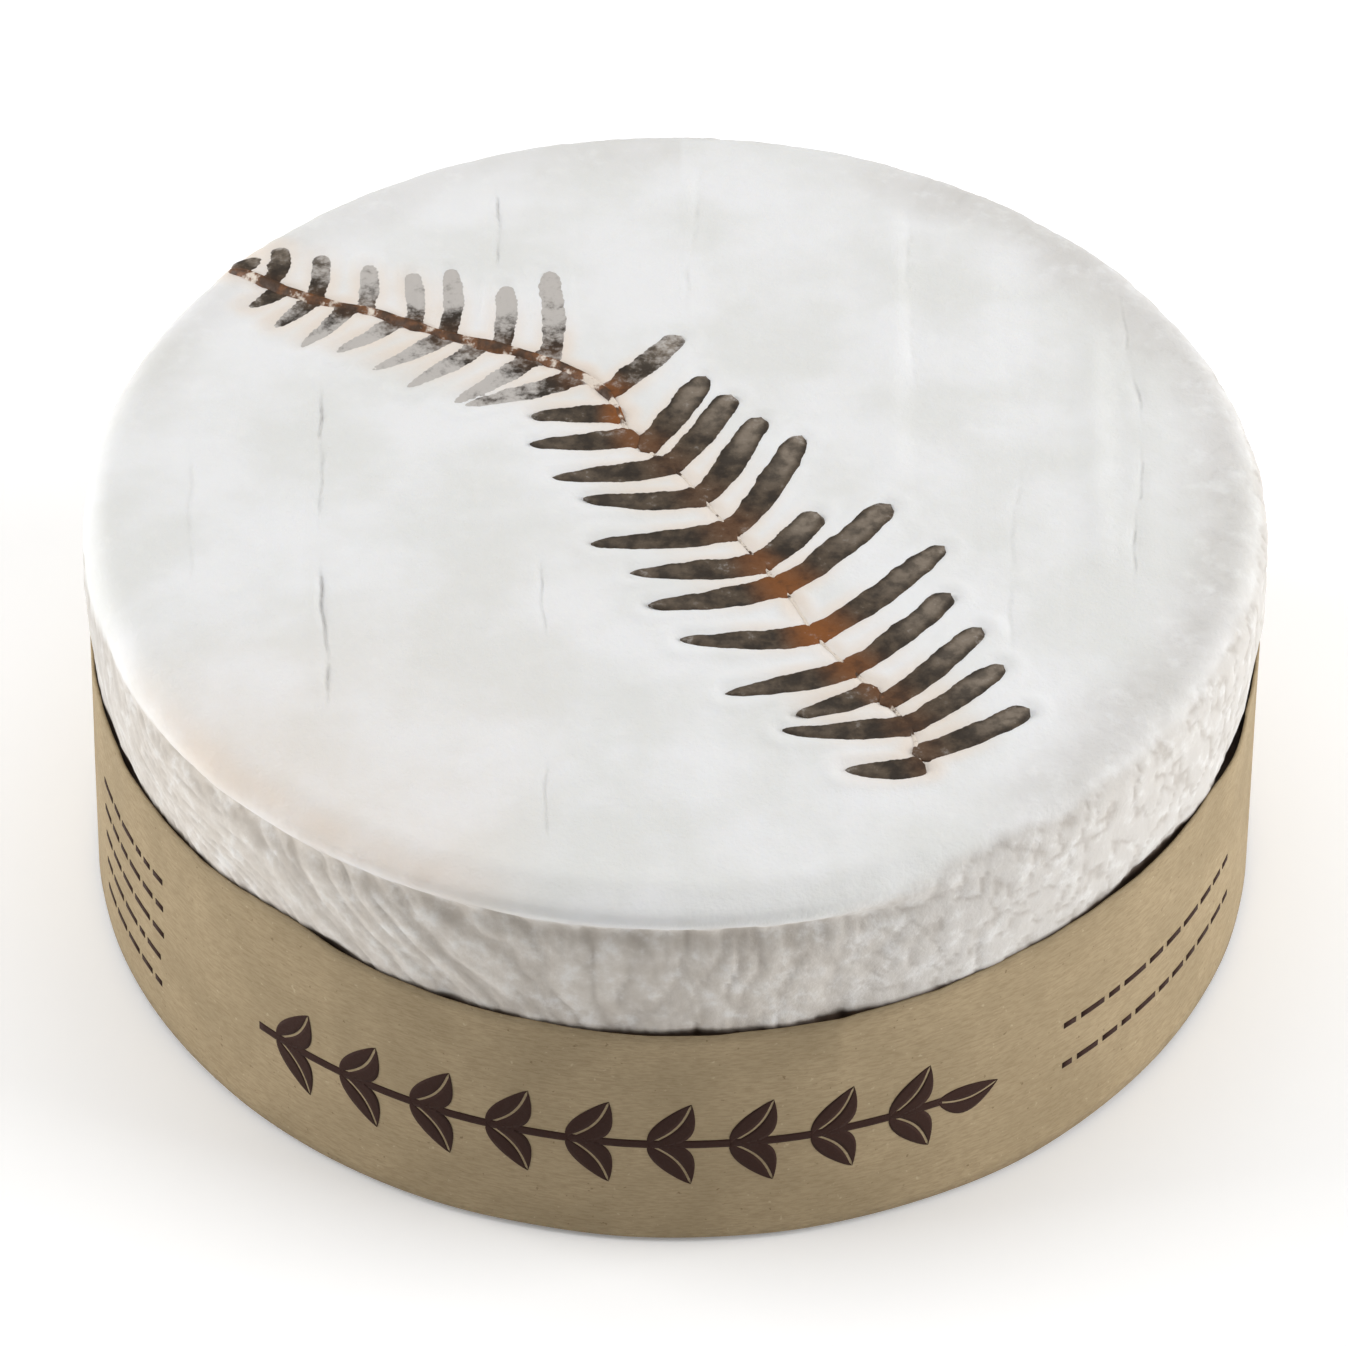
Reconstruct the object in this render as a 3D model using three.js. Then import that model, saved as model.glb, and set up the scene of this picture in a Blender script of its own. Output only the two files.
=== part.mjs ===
// A bloomy-rind cheese wheel with a dried fern frond pressed on its top and a
// kraft-paper band round its side.
//
// Millimetres, +Z up. The origin is the centre of the flat base. The front is -Y.
// The frond's stalk end lies at +X -Y and its tip hangs over the edge at -X +Y.

import * as THREE from "three";

// Wheel
const WHEEL_HEIGHT = 53;
const SIDE_RADIUS = 64.6; // the part of the side that the band covers
const BULGE_RADIUS = 65.3; // the widest place, above the band
const BULGE_HEIGHT = 41;
const BASE_EDGE = 3; // radius of the rounded bottom edge
const SHOULDER = 4; // radius of the rounded top edge
const TOP_CROWN = 2.2; // rise of the top from its edge to its centre
const FLAT_RADIUS = BULGE_RADIUS - SHOULDER;
const EDGE_HEIGHT = WHEEL_HEIGHT - TOP_CROWN;

// Paper band: one strip, closed by a glued lap at the back left
const PAPER = 0.35;
const BAND_INNER_RADIUS = 64.9;
const BAND_OUTER_RADIUS = BAND_INNER_RADIUS + PAPER;
const BAND_BOTTOM = 0.4;
const BAND_WIDTH = 31.8;
const LAP_START = THREE.MathUtils.degToRad(122);
const LAP_END = THREE.MathUtils.degToRad(144);

// Fern frond
const GAP = 0.3; // clearance between neighbouring pieces
const STEM_RADIUS = 0.6; // at the stalk end
const STEM_TIP_RADIUS = 0.3;
const LEAFLET_THICKNESS = 0.4;
const LEAFLET_WIDTH = 3;
const LEAFLET_TIP_WIDTH = 2.2; // width of the last leaflets
const LEAFLET_BASE = 0.3; // half width at a leaflet's base, as a share of its width
const HANDLE_OUT = 0.6; // how far out its curve handles stand, as a share of its width
const HANDLE_ALONG = 0.25; // and from its ends, as a share of its length
const RIGHT_SAG = 0.06; // bow towards the stalk end, as a share of the length
const LEFT_SAG = 0.08;
const LEAFLET_START = 1.7; // distance from the stem's centre line to a leaflet's base

// Smoothness
const ROUND_SEGMENTS = 72;
const PROFILE_SEGMENTS = 6;
const STEM_SIDES = 8;
const STEM_STEPS = 56;
const LEAFLET_SEGMENTS = 5;

// The stem's centre line in plan, from the stalk end to the tip.
const STEM_PLAN = [
  [26.5, -44.5], [25.5, -39.5], [22.5, -34.5], [18.5, -29.5], [15, -24.5], [12.5, -19],
  [9.5, -14], [6.5, -9], [3.5, -4], [0.5, 1], [-3.5, 5.5], [-6, 10],
  [-7.5, 14.5], [-11, 18], [-15.5, 21], [-20.5, 23], [-25.5, 25],
  [-30.5, 27.5], [-35, 30], [-39.5, 31.5], [-43.5, 33.5], [-47, 36], [-49.5, 38],
];

// Each leaflet: distance along the stem, length, and heading in degrees from +X.
const RIGHT_LEAFLETS = [
  [0.5, 14.6, 36], [5, 14.9, 48], [11, 15.8, 47], [17, 16.5, 47], [22.5, 20.8, 48],
  [30, 18.9, 53], [35.5, 10.6, 55], [40.5, 18.9, 68], [47.5, 15.7, 67], [53, 14.5, 67],
  [59, 14.1, 61], [68, 13.6, 56], [77, 17.2, 93], [83, 12, 91], [88.5, 13.3, 96],
  [94, 10.1, 95], [100, 9, 93], [105.5, 9.2, 94], [110.5, 8.6, 96], [114.8, 5, 102],
];
const LEFT_LEAFLETS = [
  [0.5, 8.2, 190], [5, 13.9, 180], [11, 9.8, 197], [17, 13.9, 198], [22.5, 14.9, 182],
  [30, 15.3, 188], [35.5, 14.4, 186], [40.5, 16.1, 184], [47.5, 13.4, 179],
  [53, 14, 183], [59, 12.6, 178], [64.5, 11.6, 171], [73, 14, 199],
  [78.5, 12.3, 216], [84, 12.1, 213], [89.5, 10.6, 211], [95.5, 9.1, 212],
  [101.5, 9.2, 226], [107, 6.4, 226], [111.5, 4.6, 221],
];

const RIND = new THREE.MeshStandardMaterial({ color: 0xe4e3df, roughness: 0.9 });
const KRAFT = new THREE.MeshStandardMaterial({ color: 0x9c8862, roughness: 0.85 });
const STALK = new THREE.MeshStandardMaterial({ color: 0x6e4420, roughness: 0.7 });
const FROND = new THREE.MeshStandardMaterial({ color: 0x4a4036, roughness: 0.8 });

const assembly = new THREE.Group();

function addPiece(name, geometry, material) {
  const mesh = new THREE.Mesh(geometry, material);
  mesh.name = name;
  assembly.add(mesh);
}

// Height of the wheel's surface above a plan point on its top or shoulder.
function topHeight(x, y) {
  const radius = Math.hypot(x, y);
  if (radius <= FLAT_RADIUS) {
    return WHEEL_HEIGHT - TOP_CROWN * (radius / FLAT_RADIUS) ** 2;
  }
  const over = Math.min((radius - FLAT_RADIUS) / SHOULDER, 1);
  return EDGE_HEIGHT - SHOULDER * (1 - Math.sqrt(1 - over ** 2));
}

// The wheel is one solid of revolution: flat base, straight side under the band,
// a slight bulge above it, a rounded shoulder and a nearly flat top.
function wheelGeometry() {
  const bandTop = BAND_BOTTOM + BAND_WIDTH;
  const profile = new THREE.Path();
  profile.moveTo(0, 0);
  profile.lineTo(SIDE_RADIUS - BASE_EDGE, 0);
  profile.absarc(SIDE_RADIUS - BASE_EDGE, BASE_EDGE, BASE_EDGE, -Math.PI / 2, 0);
  profile.lineTo(SIDE_RADIUS, bandTop);
  profile.quadraticCurveTo(BULGE_RADIUS, bandTop + 1, BULGE_RADIUS, BULGE_HEIGHT);
  profile.absarc(FLAT_RADIUS, EDGE_HEIGHT - SHOULDER, SHOULDER, 0, Math.PI / 2);
  profile.quadraticCurveTo(FLAT_RADIUS / 2, WHEEL_HEIGHT, 0, WHEEL_HEIGHT);
  const turned = new THREE.LatheGeometry(profile.getPoints(PROFILE_SEGMENTS), ROUND_SEGMENTS);
  return turned.rotateX(Math.PI / 2);
}

// The band is a closed ring, one sheet thicker where the strip laps itself.
function bandGeometry() {
  const ring = new THREE.Shape();
  ring.absarc(0, 0, BAND_OUTER_RADIUS, LAP_END, LAP_START + 2 * Math.PI);
  ring.absarc(0, 0, BAND_OUTER_RADIUS + PAPER, LAP_START, LAP_END);
  const opening = new THREE.Path();
  opening.absarc(0, 0, BAND_INNER_RADIUS, 0, 2 * Math.PI, true);
  ring.holes.push(opening);
  const band = new THREE.ExtrudeGeometry(ring, {
    depth: BAND_WIDTH,
    bevelEnabled: false,
    curveSegments: ROUND_SEGMENTS / 2,
  });
  return band.translate(0, 0, BAND_BOTTOM);
}

function stemRadius(share) {
  return THREE.MathUtils.lerp(STEM_RADIUS, STEM_TIP_RADIUS, share);
}

// The stem's centre line, laid on the wheel with the usual clearance.
function stemCurve() {
  const last = STEM_PLAN.length - 1;
  const points = STEM_PLAN.map(([x, y], i) => (
    new THREE.Vector3(x, y, topHeight(x, y) + GAP + stemRadius(i / last))
  ));
  return new THREE.CatmullRomCurve3(points);
}

// A round bar along the centre line, then drawn in towards it so that it tapers.
function stemGeometry(curve) {
  const section = new THREE.Shape();
  for (let i = 0; i < STEM_SIDES; i += 1) {
    const angle = (i / STEM_SIDES) * 2 * Math.PI;
    const corner = [STEM_RADIUS * Math.cos(angle), STEM_RADIUS * Math.sin(angle)];
    if (i === 0) section.moveTo(...corner);
    else section.lineTo(...corner);
  }
  const stem = new THREE.ExtrudeGeometry(section, {
    steps: STEM_STEPS,
    extrudePath: curve,
    bevelEnabled: false,
  });
  const centres = curve.getSpacedPoints(STEM_STEPS);
  const positions = stem.attributes.position;
  const vertex = new THREE.Vector3();
  for (let i = 0; i < positions.count; i += 1) {
    vertex.fromBufferAttribute(positions, i);
    const distances = centres.map((centre) => centre.distanceTo(vertex));
    const nearest = distances.indexOf(Math.min(...distances));
    const taper = stemRadius(nearest / STEM_STEPS) / STEM_RADIUS;
    vertex.sub(centres[nearest]).multiplyScalar(taper).add(centres[nearest]);
    positions.setXYZ(i, ...vertex);
  }
  return stem;
}

// A pointed blade, bowed by sag (positive bows it clockwise of its heading), and
// draped over the wheel's top.
function leafletGeometry(curve, along, length, heading, sag) {
  const total = curve.getLength();
  const foot = curve.getPointAt(along / total);
  const turn = THREE.MathUtils.degToRad(heading);
  const ahead = new THREE.Vector2(Math.cos(turn), Math.sin(turn));
  const aside = new THREE.Vector2(-ahead.y, ahead.x);
  const width = THREE.MathUtils.lerp(LEAFLET_WIDTH, LEAFLET_TIP_WIDTH, along / total);
  const at = (share, offset) => {
    const forward = LEAFLET_START + share * (length - LEAFLET_START);
    const across = offset * width - sag * length * 4 * share * (1 - share);
    return [
      foot.x + ahead.x * forward + aside.x * across,
      foot.y + ahead.y * forward + aside.y * across,
    ];
  };
  const outline = new THREE.Shape();
  outline.moveTo(...at(0, -LEAFLET_BASE));
  const [near, far] = [HANDLE_ALONG, 1 - HANDLE_ALONG];
  outline.bezierCurveTo(...at(near, -HANDLE_OUT), ...at(far, -HANDLE_OUT), ...at(1, 0));
  outline.bezierCurveTo(...at(far, HANDLE_OUT), ...at(near, HANDLE_OUT), ...at(0, LEAFLET_BASE));
  const leaflet = new THREE.ExtrudeGeometry(outline, {
    depth: LEAFLET_THICKNESS,
    bevelEnabled: false,
    curveSegments: LEAFLET_SEGMENTS,
  });
  const positions = leaflet.attributes.position;
  for (let i = 0; i < positions.count; i += 1) {
    const surface = topHeight(positions.getX(i), positions.getY(i));
    positions.setZ(i, positions.getZ(i) + surface + GAP);
  }
  return leaflet;
}

function addLeaflets(prefix, leaflets, curve, sag) {
  leaflets.forEach(([along, length, heading], i) => {
    const name = `${prefix}_${String(i + 1).padStart(2, "0")}`;
    addPiece(name, leafletGeometry(curve, along, length, heading, sag), FROND);
  });
}

const stemLine = stemCurve();
addPiece("cheese_wheel", wheelGeometry(), RIND);
addPiece("paper_band", bandGeometry(), KRAFT);
addPiece("fern_stem", stemGeometry(stemLine), STALK);
addLeaflets("leaf_right", RIGHT_LEAFLETS, stemLine, RIGHT_SAG);
addLeaflets("leaf_left", LEFT_LEAFLETS, stemLine, -LEFT_SAG);

export default assembly;
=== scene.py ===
"""A bloomy-rind cheese wheel with a dried fern frond pressed on its top and a kraft-paper
band round its side.

Shapes are worked out in millimetres and stored in metres. +Z is up and the front is -Y.
"""
import itertools
import math

import bpy
import numpy as np
from mathutils import Matrix, Vector


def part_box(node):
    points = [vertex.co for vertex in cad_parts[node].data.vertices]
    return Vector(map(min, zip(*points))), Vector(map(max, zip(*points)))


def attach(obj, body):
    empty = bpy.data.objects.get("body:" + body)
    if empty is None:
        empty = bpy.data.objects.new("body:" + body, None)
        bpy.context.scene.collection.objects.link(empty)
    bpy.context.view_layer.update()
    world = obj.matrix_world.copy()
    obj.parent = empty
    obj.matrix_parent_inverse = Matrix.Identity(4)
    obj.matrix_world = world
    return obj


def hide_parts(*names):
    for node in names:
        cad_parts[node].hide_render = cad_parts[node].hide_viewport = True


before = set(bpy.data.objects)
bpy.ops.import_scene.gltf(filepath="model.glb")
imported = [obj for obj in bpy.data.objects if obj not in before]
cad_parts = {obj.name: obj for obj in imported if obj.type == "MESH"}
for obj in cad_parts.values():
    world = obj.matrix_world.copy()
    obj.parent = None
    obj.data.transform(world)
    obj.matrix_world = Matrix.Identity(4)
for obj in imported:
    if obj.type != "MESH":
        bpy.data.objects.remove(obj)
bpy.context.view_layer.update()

MM = 0.001  # one millimetre in metres

# ---------------------------------------------------------------- sizes from the frame

WHEEL_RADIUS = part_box("cheese_wheel")[1].x / MM
WHEEL_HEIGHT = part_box("cheese_wheel")[1].z / MM
BAND_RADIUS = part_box("paper_band")[1].x / MM
BAND_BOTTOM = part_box("paper_band")[0].z / MM
BAND_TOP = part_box("paper_band")[1].z / MM

# Wheel profile, as in the CAD solid
SHOULDER = 4.0
TOP_CROWN = 2.2
SIDE_INSET = 0.7
BASE_EDGE = 3.0
BULGE_HEIGHT = 41.0
FLAT_RADIUS = WHEEL_RADIUS - SHOULDER
EDGE_HEIGHT = WHEEL_HEIGHT - TOP_CROWN
SIDE_RADIUS = WHEEL_RADIUS - SIDE_INSET

# The crowned top meets the shoulder's arc where both slope alike
EDGE_SLOPE = math.atan(2 * TOP_CROWN / FLAT_RADIUS)
CROWN_RADIUS = FLAT_RADIUS + SHOULDER * math.sin(EDGE_SLOPE)
CROWN_EDGE = EDGE_HEIGHT - SHOULDER * (1 - math.cos(EDGE_SLOPE))

# Fineness of the rind's mesh
RIND_STEP = 0.56  # distance between rings where the rind shows
HIDDEN_STEP = 2.5  # distance between rings behind the band and on the base
RIND_SEGMENTS = 736  # vertices in each outer ring
HIDDEN_SEGMENTS = 184  # and in each ring that the band or the base hides

PAPER_THICKNESS = 0.28
PAPER_CLEARANCE = 0.1  # between the rind and the paper over it


# ---------------------------------------------------------------- numbers and noise


def smoothstep(low, high, value):
    """0 below low, 1 above high, and a smooth rise between them."""
    share = np.clip((value - low) / (high - low), 0, 1)
    return share * share * (3 - 2 * share)


def hump(value, centre, width):
    """A smooth bell of height 1."""
    return np.exp(-(((value - centre) / width) ** 2))


CUBE_CORNERS = np.array(list(itertools.product((0, 1), repeat=3)))
SLOPES = np.array([d for d in itertools.product((-1, 0, 1), repeat=3) if np.abs(d).sum() == 2])


def noise(points, seed):
    """Smooth gradient noise, about -1 to 1, at each row of points."""
    order = np.random.RandomState(seed).permutation(256)
    cell = np.floor(points).astype(int)
    inside = points - cell
    fade = inside**3 * (inside * (inside * 6 - 15) + 10)
    total = np.zeros(len(points))
    for corner in CUBE_CORNERS:
        x, y, z = ((cell + corner) & 255).T
        pick = order[(order[(order[x] + y) & 255] + z) & 255]
        weight = np.prod(np.where(corner == 1, fade, 1 - fade), axis=1)
        total += weight * ((inside - corner) * SLOPES[pick % len(SLOPES)]).sum(axis=1)
    return total


def cloud(points, size, octaves, seed):
    """Fractal noise whose largest lumps are about size millimetres across."""
    total = np.zeros(len(points))
    for octave in range(octaves):
        total += noise(points * (2**octave / size), seed + octave) / 2**octave
    return total


def columns(*values):
    """The values side by side as rows of points, repeated where one is a single number."""
    return np.stack(np.broadcast_arrays(*[np.asarray(v, float) for v in values]), axis=-1)


# ---------------------------------------------------------------- mesh helpers


def make_piece(name, points, faces, material, replaced=()):
    """A smooth mesh object from points in millimetres, riding on the part."""
    mesh = bpy.data.meshes.new(name)
    mesh.from_pydata((np.asarray(points) * MM).tolist(), [], faces)
    mesh.polygons.foreach_set("use_smooth", [True] * len(mesh.polygons))
    mesh.materials.append(material)
    piece = bpy.data.objects.new(name, mesh)
    bpy.context.scene.collection.objects.link(piece)
    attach(piece, "root")
    if replaced:
        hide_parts(*replaced)
    return piece


def set_attribute(piece, name, values):
    """Stores one number for each vertex, for the material to read."""
    layer = piece.data.attributes.new(name, "FLOAT", "POINT")
    layer.data.foreach_set("value", np.asarray(values, np.float32))


def grid_faces(rows, cols, start=0, closed=False):
    """Quads between neighbouring rows of a grid whose points are stored row by row."""
    faces = []
    for row in range(rows - 1):
        for col in range(cols if closed else cols - 1):
            after = (col + 1) % cols
            low, high = start + row * cols, start + (row + 1) * cols
            faces.append((low + col, low + after, high + after, high + col))
    return faces


# ---------------------------------------------------------------- the frond, read from the CAD


def node_points(name):
    """A CAD node's distinct vertices in millimetres."""
    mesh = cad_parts[name].data
    flat = np.empty(len(mesh.vertices) * 3)
    mesh.vertices.foreach_get("co", flat)
    return np.unique(np.round(flat.reshape(-1, 3) / MM, 3), axis=0)


def read_stem():
    """The stem's centre line and radius, from the stalk end to the tip."""
    sides = 8
    points = node_points("fern_stem")
    along = points @ np.array([-0.69, 0.72, 0.0])
    rings = points[np.argsort(along)].reshape(-1, sides, 3)
    centres = rings.mean(axis=1)
    radii = np.linalg.norm(rings - centres[:, None], axis=2).mean(axis=1)
    return centres, radii


def read_leaflet(name, stem):
    """The plan foot, tip, bow and width of a leaflet, and how far along the stem it grows."""
    outline = node_points(name)[:, :2]
    gaps = np.linalg.norm(outline[:, None] - stem[None, :, :2], axis=2)
    tip = outline[gaps.min(axis=1).argmax()]
    nearest = np.argsort(gaps.min(axis=1))[:4]
    base = outline[nearest].mean(axis=0)
    ahead = (tip - base) / np.linalg.norm(tip - base)
    aside = np.array([-ahead[1], ahead[0]])
    joint = int(np.linalg.norm(stem[:, :2] - base, axis=1).argmin())
    forward = (outline - base) @ ahead / np.linalg.norm(tip - base)
    across = (outline - base) @ aside
    middle = across[(forward > 0.3) & (forward < 0.7)]
    return {
        "name": name,
        "foot": stem[joint, :2],
        "tip": tip,
        "aside": aside,
        "bow": (middle.max() + middle.min()) / 2,
        "width": middle.max() - middle.min(),
        "place": joint / (len(stem) - 1),
    }


STEM, STEM_RADII = read_stem()
LEAFLETS = [
    read_leaflet(name, STEM) for name in sorted(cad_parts) if name.startswith("leaf_")
]


def leaflet_line(leaflet, shares):
    """Plan points of a leaflet's midrib at the given shares of its length."""
    straight = leaflet["foot"] + np.outer(shares, leaflet["tip"] - leaflet["foot"])
    bow = 5.6 * shares * (1 - shares) ** 1.6 * leaflet["bow"]
    return straight + np.outer(bow, leaflet["aside"])


def distance_to_line(points, line):
    """Distance of each plan point from a polyline."""
    best = np.full(len(points), np.inf)
    for start, end in zip(line[:-1], line[1:]):
        run = end - start
        share = np.clip((points - start) @ run / (run @ run), 0, 1)
        best = np.minimum(best, np.linalg.norm(points - start - np.outer(share, run), axis=1))
    return best


def frond_distance(x, y):
    """Distance from the nearest leaflet's or the stem's edge, negative on it."""
    points = columns(x, y)
    best = distance_to_line(points, STEM[:, :2]) - STEM_RADII.mean()
    shares = np.linspace(0, 0.97, 5)
    for leaflet in LEAFLETS:
        gap = distance_to_line(points, leaflet_line(leaflet, shares))
        best = np.minimum(best, gap - leaflet["width"] * 0.4)
    return best


# ---------------------------------------------------------------- the rind's surface

# Creases that the drying mat left on the top: back end, front end, depth, half width.
MAT_CREASES = [
    ((-40, 18), (-38.6, -10), 0.40, 0.40),
    ((-38.6, -10), (-37.2, -38), 0.42, 0.42),
    ((-21, 54), (-20, 37), 0.36, 0.35),
    ((-14.5, -11), (-14, -26), 0.22, 0.35),
    ((-13.5, -44), (-13, -57), 0.20, 0.40),
    ((50, 37), (51.5, 10), 0.22, 0.45),
    ((51.5, 10), (50, -18), 0.26, 0.45),
    ((2.4, 60), (1.2, 28), 0.14, 0.60),
    ((26, 54), (26.5, 12), 0.12, 0.60),
    ((38, 6), (36, -30), 0.12, 0.60),
    ((-54, 8), (-52, -20), 0.14, 0.60),
]
# Low ridges between the mat's straws: x, back y, front y, height, width.
MAT_RIDGES = [
    (24, 52, -2, 0.50, 1.8),
    (0.5, 60, 26, 0.30, 1.6),
    (46.5, 32, -16, 0.40, 1.6),
    (-40.5, 8, -44, 0.16, 1.6),
    (-18, -6, -50, 0.12, 1.6),
    (-30, 52, 30, 0.12, 2.4),
]
# A crease wanders from its straight line in these waves: height, length, shift.
CREASE_WAVES = [(0.30, 7.0, 0.0), (0.14, 2.3, 1.0), (0.07, 0.9, 2.0)]
CREASE_FADE = 0.25  # share of a crease's length over which it fades out at each end
CREASE_LIP = 0.5  # height of the lip beside a crease, as a share of its depth

LUMP_HEIGHT, LUMP_SIZE = 0.14, 26  # the top's broad unevenness
STRAW_HEIGHT, STRAW_WIDTH, STRAW_LENGTH = 0.09, 4.2, 55  # marks of the mat's broad straws
FINE_HEIGHT, FINE_WIDTH, FINE_LENGTH = 0.035, 1.5, 24  # and of its fine ones
BLOOM_HEIGHT, BLOOM_SIZE = 0.03, 2.4  # tufts of the mould
BED_DEPTH = 0.14  # how deep the frond lies in the mould
BED_RIM = 0.22  # height of the mould's edge beside the frond


def crease_wander(y):
    """How far a crease lies to the right of its straight line."""
    return sum(height * np.sin(y / length + shift) for height, length, shift in CREASE_WAVES)


def top_relief(x, y):
    """Height of the top's relief over its plain shape, at plan points."""
    plan = columns(x, y, 0)
    relief = LUMP_HEIGHT * cloud(plan, LUMP_SIZE, 3, 11)
    relief += STRAW_HEIGHT * noise(columns(x / STRAW_WIDTH, y / STRAW_LENGTH, 3), 12)
    relief += FINE_HEIGHT * noise(columns(x / FINE_WIDTH, y / FINE_LENGTH, 5), 13)
    relief += BLOOM_HEIGHT * cloud(plan, BLOOM_SIZE, 2, 14)
    wander = crease_wander(y)
    fading = 0.25 + 0.75 * smoothstep(-0.3, 0.4, noise(columns(x / 9, y / 5, 7), 15))
    for back, front, depth, width in MAT_CREASES:
        along = (back[1] - y) / (back[1] - front[1])
        centre = back[0] + (front[0] - back[0]) * along + wander
        ends = smoothstep(0, CREASE_FADE, along) * smoothstep(1, 1 - CREASE_FADE, along) * fading
        relief -= depth * ends * hump(x, centre, width)
        relief += CREASE_LIP * depth * ends * hump(x, centre - 2 * width, 1.6 * width)
    for middle, back, front, height, width in MAT_RIDGES:
        ends = smoothstep(front, front + 8, y) * smoothstep(back, back - 8, y)
        relief += height * ends * hump(x + wander, middle, width)
    edge = frond_distance(x, y)
    relief -= BED_DEPTH * smoothstep(0.3, -0.5, edge)
    relief += BED_RIM * hump(edge, 1.0, 0.8)
    return relief


def from_front(angle):
    """Degrees round the wheel from the front, positive to the right, for an angle from +X."""
    return (np.degrees(angle) + 90 + 180) % 360 - 180


LIP_HEIGHT = EDGE_HEIGHT - 2.7  # where the top's skin stands out over the side
LIP_DEPTH, LIP_WIDTH = 1.1, 1.4
FOLD_HEIGHT = EDGE_HEIGHT - 5.4  # the hollow under it
FOLD_DEPTH, FOLD_WIDTH = 0.9, 1.3

LONG_SPACING, LONG_LENGTH = 3.6, 22  # the side's long folds
SHORT_SPACING, SHORT_LENGTH = 1.7, 11  # and its short ones
NET_SIZE = 3.8  # the net of wrinkles at the right
STREAK_DEPTH = 0.24
SWELL_HEIGHT, SWELL_SIZE = 0.26, 12  # the side's broad unevenness
GRAIN_HEIGHT, GRAIN_SIZE = 0.06, 1.9


def lip_weight(turn):
    """1 where the top's skin stands out over the side as a lip, at the front and front left."""
    return smoothstep(-72, -48, turn) * smoothstep(34, 12, turn)


def side_upper_edge(turn):
    """Height at which the white bloom of the top gives way to the wrinkled side."""
    return EDGE_HEIGHT - 2.9 + 2.7 * smoothstep(12, 34, turn)


def worn_rim(turn, radius):
    """How far the side's wrinkles spread onto the top's rim, most at the right and back right."""
    spread = 0.55 * smoothstep(28, 45, turn) * smoothstep(168, 150, turn)
    spread += 0.25 * smoothstep(-95, -115, turn)
    return spread * smoothstep(FLAT_RADIUS - 8, FLAT_RADIUS, radius)


def side_relief(points):
    """Wrinkles of the rind on its side, and 1 in their valleys falling to 0 on their ridges."""
    turn = from_front(np.arctan2(points[:, 1], points[:, 0]))
    around = np.radians(turn) * WHEEL_RADIUS
    height = points[:, 2]
    lean = 0.8 * noise(columns(around / 30, 0.5, 0.5), 21)
    lean += 1.5 * hump(turn, -27, 17) + 2.8 * hump(turn, -58, 13)
    bent = around + lean * (height - BAND_TOP) + 1.5 * cloud(points, 8, 2, 22)
    long_fold = np.abs(noise(columns(bent / LONG_SPACING, height / LONG_LENGTH, 1), 23))
    short_fold = np.abs(noise(columns(bent / SHORT_SPACING, height / SHORT_LENGTH, 2), 24))
    net = np.abs(cloud(points * (1, 1, 0.8), NET_SIZE, 2, 26))
    netted = 0.12 + 0.88 * smoothstep(8, 30, turn) * smoothstep(150, 110, turn)
    streaks = 0.70 * smoothstep(0.20, 0.0, long_fold) + 0.40 * smoothstep(0.16, 0.0, short_fold)
    valleys = (1 - netted) * streaks + netted * 0.9 * smoothstep(0.15, 0.0, net)
    relief = SWELL_HEIGHT * cloud(points, SWELL_SIZE, 2, 25)
    relief -= (STREAK_DEPTH - 0.08 * netted) * valleys
    relief += 0.12 * long_fold + 0.08 * net + GRAIN_HEIGHT * cloud(points, GRAIN_SIZE, 2, 27)
    return relief, np.clip(valleys, 0, 1)


def band_top(turn):
    """Height of the paper's top edge, which dips at the front and at the far right."""
    rise = 0.5 + 1.5 * hump(turn, -39, 7.5)
    return BAND_TOP + rise - 1.9 * hump(turn, 0, 33) - 1.1 * hump(turn, 71, 5)


# Places where the paper stands well off the rind: degrees from the front, width, depth.
WIDE_GAPS = [
    (2.5, 4, 0.7), (16, 4, 0.5), (-33, 2.2, 0.6), (-21, 3, 0.3), (53, 7, 0.8), (71, 4, 0.9),
    (-66, 7, 0.3), (-120, 14, 0.6), (128, 12, 0.8),
]


def band_gap(turn):
    """How far the band's top edge stands off the rind."""
    angle = np.radians(turn)
    ring = columns(np.cos(angle), np.sin(angle), 0) * WHEEL_RADIUS
    gap = 0.04 + 0.35 * smoothstep(0.1, 0.8, cloud(ring, 7, 3, 31))
    for middle, width, depth in WIDE_GAPS:
        gap += depth * hump(turn, middle, width)
    return np.clip(gap, 0.04, 2.0)


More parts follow.
